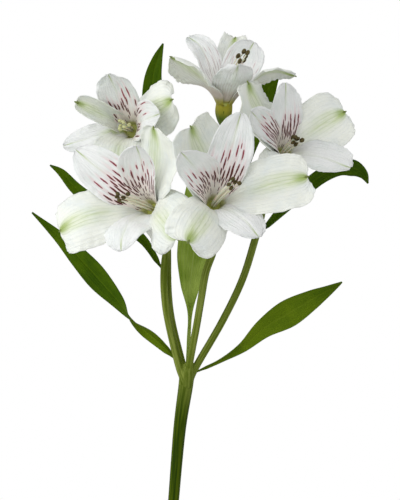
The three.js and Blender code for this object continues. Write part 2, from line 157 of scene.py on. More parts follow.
# %% Words for wiring
class Wiring:
    """Adds nodes to one tree. Every input may be a number, a colour or a Value."""

    def __init__(self, tree):
        self.tree = tree

    def feed(self, socket, value):
        if isinstance(value, Value):
            self.tree.links.new(value.socket, socket)
        else:
            socket.default_value = value

    def node(self, kind, settings=None, numbered=(), **named):
        """Makes a node, feeds its inputs and hands back what it gives, by number and by name."""
        made = self.tree.nodes.new("ShaderNode" + kind)
        for key, value in (settings or {}).items():
            setattr(made, key, value)
        for key, value in [*numbered, *named.items()]:
            self.feed(made.inputs[key], value)
        return {key: Value(self, socket) for i, socket in enumerate(made.outputs)
                for key in (i, socket.name)}

    def math(self, operation, *values):
        return self.node("Math", {"operation": operation}, enumerate(values))[0]

    def point(self, x, y, z=0.0):
        """A place made of three numbers."""
        return self.node("CombineXYZ", X=x, Y=y, Z=z)[0]

    def spots(self):
        """The place on the piece itself, in metres."""
        return self.node("TexCoord")["Object"]

    def blend(self, share, first, second):
        """first where share is 0, second where it is 1."""
        return self.node("Mix", {"data_type": "RGBA"}, ((0, share), (6, first), (7, second)))[2]

    def step(self, value, low, high, bottom=0.0, top=1.0):
        """A soft step from bottom to top while value goes from low to high."""
        return self.node("MapRange", {"interpolation_type": "SMOOTHSTEP"},
                         enumerate((value, low, high, bottom, top)))[0]

    def grain(self, vector, scale, detail=3.0, roughness=0.55):
        return self.node("TexNoise", Vector=vector, Scale=scale, Detail=detail, Roughness=roughness)[0]

    def stretched(self, vector, scale):
        """The same coordinates, scaled by a different amount each way."""
        return self.node("Mapping", Vector=vector, Scale=scale)[0]

    def coat(self, **inputs):
        """Feeds the shader of a finish."""
        shader = self.tree.nodes["Principled BSDF"]
        for key, value in inputs.items():
            self.feed(shader.inputs[key.replace("_", " ")], value)

    def emboss(self, height, depth, strength=1.0):
        """Small relief: depth is in millimetres."""
        self.coat(Normal=self.node("Bump", Height=height, Distance=depth * MM, Strength=strength)[0])


print([word for word in vars(Wiring) if not word.startswith("_")])


# %% New finishes
def new_finish(name, roughness, **inputs):
    """A material with a Principled shader, and the words to wire it."""
    material = bpy.data.materials.new(name)
    material.use_nodes = True
    wiring = Wiring(material.node_tree)
    wiring.coat(Roughness=roughness, **inputs)
    return material, wiring


def mottled_finish(name, roughness, scale, dark, light, **inputs):
    """Grains of a dark and a light colour. A larger scale gives finer grains."""
    material, wiring = new_finish(name, roughness, **inputs)
    wiring.coat(Base_Color=wiring.blend(wiring.grain(wiring.spots(), scale), dark, light))
    return material


paper = mottled_finish("pale_floor", 0.8, 30.0, (0.86, 0.86, 0.86, 1), (0.9, 0.9, 0.9, 1))
floor_mesh.materials.append(paper)
print("the floor is", paper.name)


# %% [markdown]
# ## Smooth lines
# Stalks and leaves follow a line through a few stations. A smooth cubic curve passes through all
# of them and never kinks, so a handful of numbers is enough for a whole stalk. At each place on
# the line three directions matter: ahead along it, to the side as seen from the front, and out
# towards the front.


# %% Curves through stations
FRONT = Vector((0, -1, 0))


def smooth(x):
    """A soft step: 0 up to 0, 1 from 1 on."""
    t = min(max(x, 0.0), 1.0)
    return t * t * (3 - 2 * t)


def run(rows):
    """A function of s from 0 to 1 that passes smoothly through rows of numbers."""
    last = len(rows) - 1
    before = [2 * a - b for a, b in zip(rows[0], rows[1])]
    after = [2 * a - b for a, b in zip(rows[last], rows[last - 1])]
    stations = [before, *rows, after]

    def at(s):
        i = min(int(s * last), last - 1)
        w = s * last - i
        values = []
        for a, b, c, d in zip(*stations[i:i + 4]):
            leave, arrive = (c - a) / 2, (d - b) / 2
            values.append((2 * b - 2 * c + leave + arrive) * w ** 3
                          + (3 * c - 3 * b - 2 * leave - arrive) * w ** 2 + leave * w + b)
        return values
    return at


def place(at, s):
    return Vector(at(s)[:3])


def directions(at, s):
    """Ahead along the line, to its side and out to the front."""
    ahead = (place(at, min(s + 0.005, 1)) - place(at, max(s - 0.005, 0))).normalized()
    side = ahead.cross(FRONT).normalized()
    return ahead, side, side.cross(ahead)


print("a line through 0, 2 and 1 is at", run([(0,), (2,), (1,)])(0.75)[0], "three quarters along")


# %% [markdown]
# ## From a bmesh to a finished piece
# Every piece is built in a bmesh in millimetres. Then it is scaled to metres, given its finish
# and tied to the plant's one body, and it takes the place of the plain solid that it refines.


# %% Turn a bmesh into a piece
def make_piece(name, bm, finishes, stands_for=(), thickness=0.0):
    """Scales bm to metres and makes it an object. thickness is a sheet's, in millimetres."""
    bmesh.ops.scale(bm, vec=(MM, MM, MM), verts=bm.verts)
    mesh = bpy.data.meshes.new(name)
    bm.to_mesh(mesh)
    bm.free()
    mesh.shade_smooth()
    piece = bpy.data.objects.new(name, mesh)
    scene.collection.objects.link(piece)
    for finish in finishes:
        mesh.materials.append(finish)
    if thickness:
        wall = piece.modifiers.new("wall", "SOLIDIFY")
        wall.thickness = thickness * MM
        wall.offset = 0
        wall.material_offset = 1
        settle(piece)
    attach(piece, "root")
    if stands_for:
        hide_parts(*stands_for)
    print(name, len(piece.data.polygons), "faces")
    return piece


def settle(piece):
    """Applies the piece's modifiers to its mesh."""
    view = bpy.context.evaluated_depsgraph_get()
    mesh = bpy.data.meshes.new_from_object(piece.evaluated_get(view), depsgraph=view)
    piece.modifiers.clear()
    old = piece.data
    piece.data = mesh
    bpy.data.meshes.remove(old)
    mesh.name = piece.name


print(len(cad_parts), "solids wait for finer pieces")


# %% A bent sheet
def faces_of(verts):
    return {face for vert in verts for face in vert.link_faces}


def bent_sheet(bm, rows, columns, spot, number=0, crowd=1.0):
    """A flat grid, bent: spot(along, across) places a point, along 0 to 1 and across -1 to 1.
    A crowd above 1 draws the rows closer together towards the tip. The UV map holds along and
    across, with the sheet's own number added to the second."""
    grid = bmesh.ops.create_grid(bm, x_segments=rows, y_segments=columns, size=1)
    flat = {vert: (1 - (0.5 - vert.co.x / 2) ** crowd, vert.co.y) for vert in grid["verts"]}
    uv = bm.loops.layers.uv.verify()
    for face in faces_of(flat):
        for loop in face.loops:
            along, across = flat[loop.vert]
            loop[uv].uv = (along, number + 0.5 + 0.498 * across)
    for vert, (along, across) in flat.items():
        vert.co = spot(along, across)


trial = bmesh.new()
bent_sheet(trial, 6, 4, lambda along, across: (along, across, along * along))
print("a sheet of 6 by 4 has", len(trial.faces), "faces")
trial.free()


# %% A round stalk
def stalk(bm, rows, sides=12, steps=24, ribs=0, rib_depth=0.0):
    """A round stalk through rows of x, y, z and radius: one ring, drawn out step by step."""
    at = run(rows)

    def ring_frame(s):
        ahead, side, out = directions(at, s)
        turned = Matrix((side, out, ahead)).transposed().to_4x4()
        return Matrix.Translation(place(at, s)) @ turned @ Matrix.Scale(max(at(s)[3], 0.05), 4)

    ring = bmesh.ops.create_circle(bm, cap_ends=True, segments=sides, radius=1)["verts"]
    made = list(ring)
    for vert in ring:
        turn = math.atan2(vert.co.y, vert.co.x)
        vert.co *= 1 + rib_depth * math.cos(ribs * turn)
    bmesh.ops.transform(bm, matrix=ring_frame(0), verts=ring)
    edges = list({edge for vert in ring for edge in vert.link_edges})
    for i in range(1, steps + 1):
        grown = bmesh.ops.extrude_edge_only(bm, edges=edges)["geom"]
        ring = [item for item in grown if isinstance(item, bmesh.types.BMVert)]
        fresh = set(ring)
        edges = [item for item in grown
                 if isinstance(item, bmesh.types.BMEdge) and fresh.issuperset(item.verts)]
        change = ring_frame(i / steps) @ ring_frame((i - 1) / steps).inverted()
        bmesh.ops.transform(bm, matrix=change, verts=ring)
        made += ring
    bmesh.ops.edgeloop_fill(bm, edges=edges)
    faces = faces_of(made)
    bmesh.ops.recalc_face_normals(bm, faces=list(faces))
    return faces


trial = bmesh.new()
print("a stalk of 12 sides has", len(stalk(trial, [(0, 0, 0, 2), (0, 0, 9, 2), (3, 0, 18, 1)])), "faces")
trial.free()

# %% [markdown]
# ## The blooms, in numbers
# A Peruvian lily has three broad outer petals and three narrower inner ones. Each petal starts
# at the foot of the bloom on a narrow claw, leans out, widens and closes to a tip. The numbers
# say where it stands round the axis, how far it leans halfway and at its tip, its length, half
# its width and how much it cups. A bloom is then turned as a whole: yaw, pitch and roll.

# %% Two forms of petal
PETALS_IN_RING = 3
OUTER_FORM = {"rise": 1.05, "fall": 0.42, "claw": 0.16, "circle": 4.1, "curl": 0.75}
INNER_FORM = {"rise": 1.0, "fall": 0.6, "claw": 0.16, "circle": 2.8, "curl": 0.75}


def outer(around, lean, length, half, cup, **more):
    return {"form": OUTER_FORM, "around": around, "lean": lean, "length": length,
            "half": half, "cup": cup, **more}


def inner(around, lean, length, half, cup, **more):
    return {**outer(around, lean, length, half, cup, **more), "form": INNER_FORM}


print("an inner petal's claw starts", INNER_FORM["circle"], "mm from the axis")

# %% Petals of the five blooms
BLOOMS = {
    "lower_left": {
        "foot": (-5.7, -13.4, 313.1), "yaw": -35, "pitch": 21, "roll": 4,
        "outer": [
            outer(-27, (62, 46), 44, 14.5, 0.3, lobe=0.12, ripple=0.06, bend=8, skew=-0.38),
            outer(118, (45, 101), 50, 16, -0.35, lobe=0.12, ripple=0.06, skew=0.02),
            outer(-112, (56, 100), 46, 16, -0.7, lobe=0.08, bend=-22, skew=0.06),
        ],
        "inner": [
            inner(53, (44, 66), 49, 11.5, 0.25),
            inner(-23, (35, 21), 46.5, 10, 0.3, twist=30, skew=0.27, bend=-12),
            inner(172, (38, 94), 39, 12.7, -0.35, bend=17),
        ],
        "stamens": (31, 6, 195),
    },
    "middle": {
        "foot": (23, -30, 315.8), "yaw": 19, "pitch": 32, "roll": 25,
        "outer": [
            outer(-13, (76, 53), 39.5, 20.5, 0.2, lobe=0.2, bend=12, skew=0.06, twist=34),
            outer(-115, (55, 75), 49, 15.5, 0.3, lobe=0.12, skew=-0.12),
            outer(116, (55, 100), 45, 15.5, -0.6, lobe=0.15),
        ],
        "inner": [
            inner(24.5, (39, 33), 46, 9.6, 0.3, twist=-48, bend=22, skew=-0.1),
            inner(-42, (43, 59), 49, 11, 0.25),
            inner(176, (50, 82), 40, 11.5, -0.35),
        ],
        "stamens": (31, 6, 185),
    },
    "upper_left": {
        "foot": (-17.3, 19.4, 351), "yaw": -14, "pitch": 15, "roll": -47,
        "outer": [
            outer(-25, (37, 67), 41, 14.5, -0.6, lobe=0.06),
            outer(117, (35, 60), 34, 9, 1.7, lobe=0.1),
            outer(-141.5, (34, 70), 42, 13.4, 0.3, lobe=0.1, bend=20),
        ],
        "inner": [
            inner(56.5, (33, 15), 43, 10.3, 0.25),
            inner(-40, (30, 48), 40, 10, 0.3),
            inner(158.5, (76, 95), 37, 7, -0.3, bend=-3),
        ],
        "stamens": (15, 4, 180),
    },
    "right": {
        "foot": (57, 4.9, 338.2), "yaw": 30, "pitch": 37, "roll": 37,
        "outer": [
            outer(8, (69, 58), 41, 16.5, 0.3, lobe=0.04, ripple=0.06, bend=-22, twist=6, skew=0.35),
            outer(-103, (51, 74), 38.5, 15.3, 0.3, lobe=0.05, ripple=0.08, skew=-0.05, bend=-9),
            outer(109, (58, 98), 44, 15, -0.4, lobe=0.1),
        ],
        "inner": [
            inner(34.5, (51, 46), 44, 7.8, 0.3, twist=-36, bend=10, skew=-0.09),
            inner(-36, (45, 58), 37, 9.7, 0.25, twist=5),
            inner(181.5, (51, 63), 41.5, 12.3, 0.2, bend=-7),
        ],
        "stamens": (17, 5, 180),
    },
    "top": {
        "foot": (29.2, 14, 364.8), "yaw": 26, "pitch": 80, "roll": -22,
        "outer": [
            outer(-5.5, (50, 64), 42.4, 7.5, 0.5, root=28, lobe=0.14, bend=-7),
            outer(120, (49, 71), 40, 12.5, -0.9, root=28, lobe=-0.1, twist=25),
            outer(-107, (47.5, 113), 39, 9.7, -0.5, root=27, twist=-33, bend=14),
        ],
        "inner": [
            inner(38, (34, 82), 42, 7.8, 0.4, root=28, bend=-2, twist=-20),
            inner(-39, (39, 56), 37.7, 10.3, 0.4, root=28, bend=10, twist=37),
            inner(191, (48, 37), 32, 10.5, 0.5, root=28, bend=-5),
        ],
        "stamens": (27, 22, -135),
    },
}
print(len(BLOOMS), "blooms of", 2 * PETALS_IN_RING, "petals")


# %% Where a bloom stands
def bloom_frame(bloom):
    """The matrix from a bloom's own directions to the plant: top petal, left, axis."""
    yaw, pitch = math.radians(bloom["yaw"]), math.radians(bloom["pitch"])
    axis = Vector((math.sin(yaw) * math.cos(pitch), -math.cos(yaw) * math.cos(pitch), math.sin(pitch)))
    up = (Vector((0, 0, 1)) - axis * axis.z).normalized()
    up = Matrix.Rotation(math.radians(bloom["roll"]), 3, axis) @ up
    turned = Matrix((up, axis.cross(up), axis)).transposed().to_4x4()
    return Matrix.Translation(bloom["foot"]) @ turned


def first_petal(name):
    """The number of a bloom's first outer petal, and also of its first inner one."""
    return PETALS_IN_RING * list(BLOOMS).index(name)


print("the top bloom's petals are numbered from", first_petal("top"))

# %% [markdown]
# ## One petal
# The petal's rib is walked in small steps, each leaning a little further out. At any place along
# the rib the blade reaches to both sides on a shallow arc. Real petals are never perfectly even,
# so the edge also ruffles, the rib lies in a soft groove and fine veins run from claw to tip.

# %% Shape of a petal
RIB_STEPS = 336
# Millimetres that a petal or a leaf reaches into what carries it
ROOT_REACH = 1.6
# Millimetres of slow and quick waves at the edge, of unevenness all over, and of the rib's groove
RUFFLE, FRILL, WARP, RIB_GROOVE = 1.9, 0.8, 0.9, 0.35
# Degrees that a petal leans out at its claw
ROOT_LEAN = 12


def petal_shape(petal, bloom, seed):
    """A function of along and across that places a point of the petal, in millimetres."""
    form, length, half = petal["form"], petal["length"], petal["half"]
    narrow = form is INNER_FORM
    to_plant = bloom_frame(bloom) @ Matrix.Rotation(math.radians(petal["around"]), 4, "Z")

    def outline(s):
        return (s + form["claw"]) ** form["rise"] * (1 - 0.995 * s) ** form["fall"]

    widest = max(outline(k / 200) for k in range(201))
    root, (start, end) = petal.get("root", ROOT_LEAN), petal["lean"]
    centre = Vector((form["circle"], 0, 0))
    rib = []
    for k in range(RIB_STEPS + 1):
        s = k / RIB_STEPS
        lean = math.radians(root + (start - root) * smooth(s / 0.45)
                            + (end - start) * smooth((s - 0.45) / 0.55))
        stray = math.radians(petal.get("bend", 0)) * smooth(s)
        ahead = Vector((math.sin(lean) * math.cos(stray), math.sin(stray),
                        math.cos(lean) * math.cos(stray)))
        side = Vector((-math.cos(lean), 0, math.sin(lean))).cross(ahead).normalized()
        face = ahead.cross(side)
        roll = math.radians(petal.get("twist", 0)) * smooth(s)
        rib.append((centre.copy(), ahead, side * math.cos(roll) + face * math.sin(roll),
                    face * math.cos(roll) - side * math.sin(roll)))
        centre += ahead * (length / RIB_STEPS)

    def spot(s, across):
        place_on_rib = min(s * RIB_STEPS, RIB_STEPS - 0.001)
        k = int(place_on_rib)
        middle, ahead, side, up = (a.lerp(b, place_on_rib - k) for a, b in zip(rib[k], rib[k + 1]))
        wide = max(half * outline(s) / widest, 0.5)
        curl = form["curl"] + (petal["cup"] - form["curl"]) * smooth(s / 0.5)
        v = across * (1 + petal.get("skew", 0) * across * smooth(s / 0.4))
        wave = petal.get("ripple", 0) * abs(v) ** 3 * smooth((s - 0.2) / 0.4)
        lift = wide * ((1 - math.cos(curl * v)) / curl
                       + wave * math.sin(5 * math.pi * s + (1.3 if v > 0 else 0)))
        notch = length * petal.get("lobe", 0) * (wide * abs(v) / half) ** 1.2 * smooth((s - 0.45) / 0.45)
        ruffle = noise.noise(Vector((seed * 3.7, 8 * s, 2.3 * across)))
        frill = noise.noise(Vector((seed * 5.1 + 40, 24 * s, 3 * across)))
        frill += 0.5 * noise.noise(Vector((seed * 6.3 + 80, 60 * s, 2 * across)))
        rim = abs(across) ** 3 * smooth((s - 0.25) / 0.3) * (0.7 if narrow else 1.0)
        lift += (RUFFLE * ruffle + FRILL * frill) * rim
        lift += WARP * noise.noise(Vector((seed * 2.9, 4 * s, 1.5 * across))) * smooth((s - 0.1) / 0.4)
        lift -= RIB_GROOVE * math.exp(-(wide * across / 0.9) ** 2) * smooth(s / 0.2) * smooth((1 - s) / 0.1)
        notch += FRILL * frill * rim
        notch -= ROOT_REACH * (1 - smooth(s / 0.05))
        return to_plant @ (middle + side * (wide * math.sin(curl * v) / curl) + up * lift + ahead * notch)

    tip, ahead, side, up = rib[-1]
    tip_frame = to_plant @ Matrix.Translation(tip) @ Matrix((side, up, ahead)).transposed().to_4x4()
    return spot, tip_frame


sample = BLOOMS["middle"]
tip_height = petal_shape(sample["inner"][0], sample, 0)[1].translation.z
print("the middle bloom's upper petal ends", round(tip_height), "mm up")

# %% [markdown]
# ## The petals' finish
# White petals are not plain white. Their throat is yellow-green and their base cream, the outer
# ones carry a broad green band along the rib that ends in a small dark point, and the two upper
# inner ones are marked with maroon dashes on a blush of pink. All of it is drawn from the petal's
# own two coordinates: along it, and across it.

# %% Shared effect: fine veins
def new_group(name, inputs, outputs):
    """A node group with named numbers in and out, and the words to wire it."""
    group = bpy.data.node_groups.new(name, "ShaderNodeTree")
    for way, labels in (("INPUT", inputs), ("OUTPUT", outputs)):
        for label in labels:
            group.interface.new_socket(name=label, in_out=way, socket_type="NodeSocketFloat")
    given, shown = group.nodes.new("NodeGroupInput"), group.nodes.new("NodeGroupOutput")
    wiring = Wiring(group)
    return group, wiring, [Value(wiring, given.outputs[label]) for label in inputs], shown


VEINS, wiring, (along, across, count, wander), shown = new_group(
    "fine_veins", ("Along", "Across", "Count", "Wander"), ("Vein",))
drift = (wiring.grain(wiring.point(along * 3.0, across * 5.0), 1.0) - 0.5) * wander
wave = wiring.math("COSINE", (across + drift) * count * math.pi)
wiring.feed(shown.inputs["Vein"], wiring.step(wave, 0.35, 1.0))
print("fine_veins has", len(VEINS.nodes), "nodes")


def add_veins(wiring, along, across, count, wander):
    return wiring.node("Group", {"node_tree": VEINS}, Along=along, Across=across, Count=count,
                       Wander=wander)["Vein"]


def sheet_coordinates(wiring):
    """Along, across and number of the sheet, from its UV map."""
    uv = wiring.node("SeparateXYZ", Vector=wiring.node("UVMap")[0])
    across = (wiring.math("FRACT", uv["Y"]) - 0.5) * 2.008
    return uv["X"], across, wiring.math("FLOOR", uv["Y"])


# %% [markdown]
# ### Dashes
# A dash is a thin ellipse on a vein. The petal is cut into lanes that fan out from its claw, and
# each lane gets, from its own random numbers, one dash in each of a few belts. Close to the claw
# the dashes are short and crowded like freckles, further out they are long and sparse. Each also
# bleeds a little pink into the petal round it. Blooms whose petals carry long lines stretch them.

# %% Shared effect: dashes
BELTS = (
    # lanes to each side, shift, middle, scatter, half length, half width in mm, share of lanes
    (6.5, 0.5, 0.140, 0.025, 0.024, 0.18, 0.50),
    (6.5, 0.0, 0.200, 0.030, 0.030, 0.22, 0.65),
    (5.5, 0.5, 0.275, 0.030, 0.046, 0.31, 0.90),
    (5.5, 0.0, 0.365, 0.035, 0.062, 0.40, 0.95),
    (4.5, 0.5, 0.465, 0.040, 0.066, 0.41, 0.80),
    (3.5, 0.0, 0.580, 0.050, 0.054, 0.36, 0.50),
    (3.5, 0.5, 0.710, 0.050, 0.036, 0.28, 0.20),
)
DASHES, wiring, (along, across, number, stretch, crowd), shown = new_group(
    "petal_dashes", ("Along", "Across", "Number", "Stretch", "Crowd"), ("Dash", "Halo"))
half_width = (along + INNER_FORM["claw"]) * (1.0 - along * 0.995) ** INNER_FORM["fall"] * 24.0
bend = (wiring.grain(wiring.point(along * 6.0, across * 3.0, number), 1.0) - 0.5) * 0.12
dash, halo = 0.0, 0.0
for index, (lanes, shift, middle, scatter, half_length, half_thick, share) in enumerate(BELTS):
    lane = (across + bend) * lanes + shift
    nearest = wiring.math("ROUND", lane)
    key = wiring.point(nearest, number, index + 0.5)
    draw = wiring.node("SeparateColor", Color=wiring.node("TexWhiteNoise", Vector=key)["Color"])
    centre = (middle - scatter) + draw[0] * (2 * scatter)
    reach = half_length * stretch * (0.6 + draw[1] * 0.8)
    off_line = abs(lane - nearest) * half_width / (lanes * half_thick)
    off_middle = (along - centre) / reach
    radius = wiring.math("SQRT", off_line * off_line + off_middle * off_middle)
    there = draw[2] < crowd * share
    dash = wiring.math("MAXIMUM", dash, there * wiring.step(radius, 1.08, 0.88))
    halo = wiring.math("MAXIMUM", halo, there * wiring.step(radius, 3.2, 0.6))
edge = wiring.step(abs(across), 0.98, 0.84)
wiring.feed(shown.inputs["Dash"], dash * edge)
wiring.feed(shown.inputs["Halo"], halo * edge)
print("petal_dashes has", len(DASHES.nodes), "nodes")

# %% [markdown]
# ### Four petal finishes
# Outer and inner petals, upper and under side, share one recipe and differ in a few numbers. Some
# light passes through a petal, which the shader's subsurface part gives. The under side has mauve
# streaks on its veins and turns mauve towards the stalk, with an olive foot where it grows out of
# the ovary. The ends of the outer petals get a finish of their own.

# %% Petal colours
OUTER_WHITE = (0.86, 0.885, 0.80, 1)
INNER_WHITE = (0.87, 0.885, 0.875, 1)
COOL = (0.77, 0.82, 0.79, 1)
CREAM = (0.94, 0.87, 0.79, 1)
RIB_GREEN = (0.43, 0.55, 0.16, 1)
TIP_GREEN = (0.24, 0.34, 0.05, 1)
THROAT_GREEN = (0.50, 0.52, 0.13, 1)
MAUVE = (0.50, 0.41, 0.36, 1)
OLIVE = (0.36, 0.33, 0.03, 1)
PINK = (0.80, 0.44, 0.48, 1)
MAROON = (0.085, 0.012, 0.010, 1)
MAGENTA = (0.270, 0.024, 0.050, 1)
print("the dashes go from", MAROON[:3], "to", MAGENTA[:3])


# %% Green rib, and marks of the inner petals
def green_rib(wiring, colour, along, across, lines, reach, start, strength):
    """A blotchy green band along the rib, narrower and much stronger towards the tip."""
    blotch = wiring.grain(wiring.point(along * 3.0, across * 6.0), 1.0)
    blotch = wiring.step(blotch, 0.3, 0.7, 0.35, 1.0)
    off = abs(across) / wiring.step(along, start, 1.0, reach, 0.75 * reach)
    band = wiring.step(off, 1.0, 0.0) * wiring.step(along, start, 0.95, 0.1, 1.0)
    colour = wiring.blend(band * blotch * strength, colour, RIB_GREEN)
    colour = wiring.blend(band * lines * (0.3 * strength), colour, TIP_GREEN)
    tip = wiring.step(off, 0.9, 0.1) * wiring.step(along, 0.82, 0.98)
    return wiring.blend(tip * strength, colour, TIP_GREEN)


def since_bloom(wiring, number, name, before, after):
    """before for the blooms that BLOOMS lists ahead of the named one, and after from it on."""
    first = first_petal(name)
    return wiring.step(number, first - 0.8, first - 0.2, before, after)


def inner_marks(wiring, colour, along, across, number):
    """A green stripe on the lower petal, cream and pink on the two upper ones, and their dashes."""
    lower = number % PETALS_IN_RING > 1.5
    young = abs(number - (first_petal("upper_left") + 1)) < 1.5
    stripe = wiring.step(abs(across), 0.5, 0.1) * (lower * wiring.step(along, 0.6, 0.15))
    colour = wiring.blend(stripe * (0.15 + young * 0.65), colour, RIB_GREEN)
    upper = (1.0 - lower) * since_bloom(wiring, number, "top", 1.0, 0.3)
    colour = wiring.blend(wiring.step(along, 0.5, 0.2) * (upper * 0.85), colour, CREAM)
    drawn = wiring.node("Group", {"node_tree": DASHES}, Along=along, Across=across, Number=number,
                        Stretch=since_bloom(wiring, number, "upper_left", 1.0, 1.3),
                        Crowd=since_bloom(wiring, number, "right", 1.0, 0.75) - young * 0.45)
    halo = drawn["Halo"] * wiring.step(along, 0.15, 0.42, 0.10, 0.42)
    return wiring.blend(halo * upper, colour, PINK), drawn["Dash"] * upper


print("long lines from petal", first_petal("upper_left"), "on, fewer from", first_petal("right"), "on")


# %% Four petal finishes
def petal_finish(name, white, rib, marked=False, under=False):
    """rib holds the green band's half width, start and strength."""
    material, wiring = new_finish(name, 0.5, Subsurface_Weight=0.3, Subsurface_Scale=0.0016,
                                  Subsurface_Radius=(1.0, 1.0, 0.9), Specular_IOR_Level=0.3)
    along, across, number = sheet_coordinates(wiring)
    colour = wiring.blend(wiring.step(wiring.grain(wiring.spots(), 90.0), 0.4, 0.75), white, COOL)
    lines = add_veins(wiring, along, across, 15.0, 0.14)
    colour = wiring.blend(lines * 0.25, colour, COOL)
    colour = green_rib(wiring, colour, along, across, lines, *rib)
    if marked:
        colour, dash = inner_marks(wiring, colour, along, across, number)
    if under:
        colour = wiring.blend(lines * wiring.step(along, 0.75, 0.3, 0.0, 0.45), colour, MAUVE)
        colour = wiring.blend(wiring.step(along, 0.4, 0.16, 0.0, 0.8), colour, MAUVE)
        colour = wiring.blend(wiring.step(along, 0.13, 0.02), colour, OLIVE)
    else:
        colour = wiring.blend(wiring.step(along, 0.14, 0.056, 0.0, 0.8), colour, THROAT_GREEN)
    if marked:
        ink = wiring.blend(wiring.step(along, 0.38, 0.66), MAROON, MAGENTA)
        colour = wiring.blend(dash, colour, ink)
    wiring.coat(Base_Color=colour)
    folds = wiring.grain(wiring.point(along * 6.0, across * 7.0, number), 1.0)
    wiring.emboss(folds + lines * 0.11, 0.9, 0.85)
    return material


OUTER_PETAL = petal_finish("outer_petal", OUTER_WHITE, (0.6, 0.2, 0.8))
OUTER_BACK = petal_finish("outer_petal_back", OUTER_WHITE, (0.6, 0.1, 0.9), under=True)
INNER_PETAL = petal_finish("inner_petal", INNER_WHITE, (0.16, 0.55, 0.6), marked=True)
INNER_BACK = petal_finish("inner_petal_back", INNER_WHITE, (0.25, 0.5, 0.5), under=True)
PETAL_TIP = mottled_finish("petal_tip", 0.55, 900.0, (0.07, 0.10, 0.02, 1), (0.24, 0.30, 0.06, 1))
THROAT = mottled_finish("throat", 0.5, 400.0, (0.30, 0.36, 0.05, 1), (0.50, 0.50, 0.12, 1))
print(len(bpy.data.materials), "finishes so far")

# %% [markdown]
# ## Blooms
# Each petal is one flat grid that is bent to its shape and then given a thickness of a third of
# a millimetre. The pointed end of an outer petal is a small drop of thicker green flesh, and the
# petals stand on a small green disc that closes the throat.

# %% Make the petals
PETAL_ROWS = 56
PETAL_COLUMNS = 34
PETAL_THICKNESS = 0.34
THROAT_RADIUS = 4.0
THROAT_HALF = 0.9


def add_tip(bm, tip_frame):
    """The thick green point of an outer petal."""
    made = bmesh.ops.create_uvsphere(bm, u_segments=10, v_segments=8, radius=1)["verts"]
    for vert in made:
        thin = 1 - 0.35 * smooth((vert.co.z + 1) / 2)
        vert.co = Vector((0.75 * vert.co.x * thin, 0.55 * vert.co.y * thin, 1.3 * vert.co.z))
    bmesh.ops.transform(bm, matrix=tip_frame, verts=made)


for order, (name, bloom) in enumerate(BLOOMS.items()):
    for kind, sides in (("outer", [OUTER_PETAL, OUTER_BACK]), ("inner", [INNER_PETAL, INNER_BACK])):
        bm = bmesh.new()
        for index, petal in enumerate(bloom[kind]):
            seed = 7 * order + index + (PETALS_IN_RING if kind == "inner" else 0)
            spot = petal_shape(petal, bloom, seed)[0]
            bent_sheet(bm, PETAL_ROWS, PETAL_COLUMNS, spot, first_petal(name) + index, crowd=1.5)
        make_piece(f"{kind}_petals_{name}", bm, sides, [f"petals_{name}"], PETAL_THICKNESS)
    bm = bmesh.new()
    for index, petal in enumerate(bloom["outer"]):
        add_tip(bm, petal_shape(petal, bloom, 0)[1])
    make_piece(f"petal_tips_{name}", bm, [PETAL_TIP])

# %% Close the throats
bm = bmesh.new()
for bloom in BLOOMS.values():
    made = bmesh.ops.create_cone(bm, cap_ends=True, segments=32, radius1=THROAT_RADIUS,
                                 radius2=THROAT_RADIUS, depth=2 * THROAT_HALF,
                                 matrix=bloom_frame(bloom))["verts"]
    rims = {edge for vert in made for edge in vert.link_edges if len(edge.link_faces) == 2
            and edge.calc_face_angle() > 1}
    bmesh.ops.bevel(bm, geom=list(rims), offset=0.4, segments=3, profile=0.5, affect="EDGES", material=-1)
make_piece("flower_throats", bm, [THROAT])

# %% [markdown]
# ## Stalks and ovaries
# Five stalks fan out from the top of the stem, and under each bloom sits a ribbed, swollen ovary.
# They grow into each other, so the tubes are laid through one another and then remeshed into one
# skin, which is smoothed a little so that the forks flow. The ovaries stay separate, because they
# have their own ribs and their own colour: green below and olive where they pass into the petals.
# A stalk's fine grooves run along it, whichever way it leans. The skin therefore remembers where
# each of its points would be if its stalk were straight, and the grooves are drawn on that.

# %% Lines of the stalks
STEM_FOOT = 77
RAY = 1.9
THIN = 1.6
RAYS = {
    "lower_left": [
        (9.5, 0, 225.5, RAY), (6.4, -0.8, 233.6, RAY), (1.2, -2, 255.9, RAY),
        (-0.7, -2.6, 269.6, RAY), (-0.9, -3, 282.7, RAY), (0.5, -2, 297.2, THIN),
    ],
    "upper_left": [
        (10.5, 1.5, 225.3, RAY), (8, 1.5, 234.9, RAY), (2.9, 1.5, 255.6, RAY), (1, 2, 271.6, RAY),
        (1, 4.8, 291.6, THIN), (0.2, 9, 308.9, THIN), (-3.2, 15, 328.6, THIN), (-9.3, 24, 341.8, THIN),
    ],
    "middle": [
        (11, -1, 225.6, RAY), (11.6, -1, 233.7, RAY), (13.2, -1.2, 243, RAY), (15.3, -1.5, 254, RAY),
        (17.5, -2.5, 267.2, RAY), (20, -3.5, 281.3, RAY), (23.7, -6.5, 292.6, RAY), (23.4, -12, 302, THIN),
    ],
    "right": [
        (11.5, 0.5, 225.4, RAY), (15.2, 1, 233.5, RAY), (28, 1, 255.7, RAY), (38.3, 0, 277.4, RAY),
        (45, 0, 299, RAY), (48.1, 4, 309.2, THIN), (50.7, 11, 321.3, THIN),
    ],
    "top": [
        (23.3, -6.3, 291.5, THIN), (28.4, 0, 304.5, THIN), (30, 8, 321.5, THIN), (29.6, 14, 341.5, THIN),
    ],
}
STEM = [
    (0, 0, STEM_FOOT, 2.8), (0, 0, 97, 2.8), (0.9, 0, 130, 2.8), (3.7, 0, 165.6, 2.8),
    (6.7, 0, 201.2, 3.2), (9.7, 0, 222.5, 3.7), (10.5, 0, 230.5, 3.7), (10.7, 0, 235, 2.2),
]
OVARY_LENGTH = 11
OVARY_RADIUS = 3.9
OVARY_SKIN = 0.15


